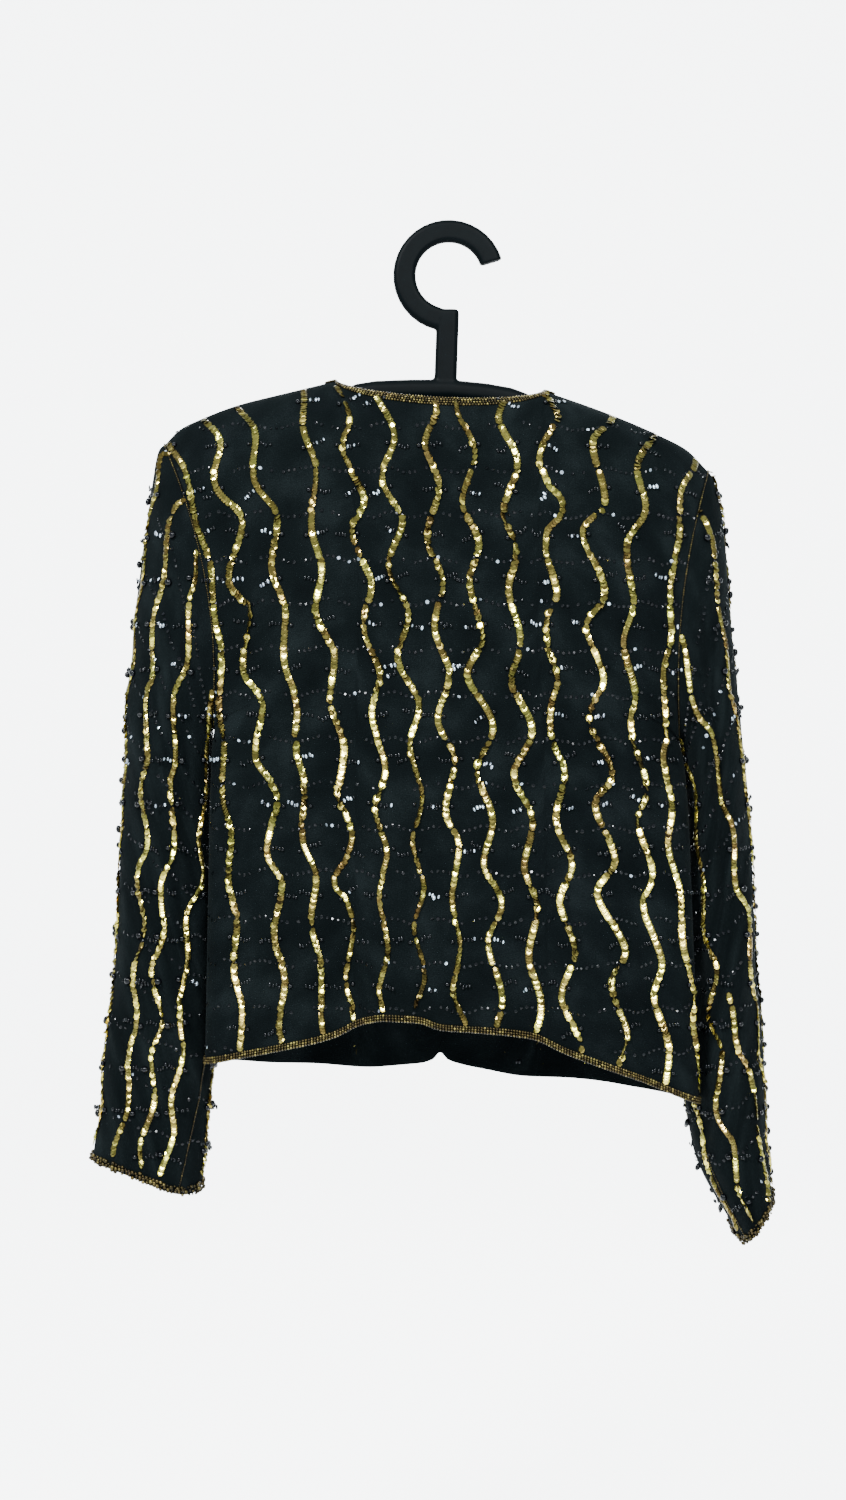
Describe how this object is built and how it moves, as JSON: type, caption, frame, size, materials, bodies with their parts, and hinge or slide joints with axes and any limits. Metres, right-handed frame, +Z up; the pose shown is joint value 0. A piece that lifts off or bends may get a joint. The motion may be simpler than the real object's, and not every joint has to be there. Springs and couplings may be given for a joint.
{
  "type": "sequin jacket on a plastic hanger",
  "caption": "Short collarless evening jacket with gold sequin stripes and beaded edges, hanging on a moulded hanger with its back to the viewer.",
  "frame": {"origin": "top of the inside of the hanger's hook, where a nail or rod carries it", "axes": "+Z up, -Y towards the viewer, who sees the jacket's back; +X to the viewer's right, the wearer's right side"},
  "size_m": [0.5536, 0.1265, 0.8184],
  "materials": {
    "black_cloth": "dull black crepe",
    "gold_band": "close rows of small antique gold beads",
    "black_plastic": "moulded, satin"
  },
  "bodies": {
    "root": {"back": "black_cloth", "front_left": "black_cloth", "front_right": "black_cloth", "sleeve_left": "black_cloth", "sleeve_right": "black_cloth", "neck_band_back": "gold_band", "edge_band_left": "gold_band", "edge_band_right": "gold_band", "hem_band_back": "gold_band", "cuff_band_left": "gold_band", "cuff_band_right": "gold_band", "hanger": "black_plastic"}
  },
  "joints": []
}
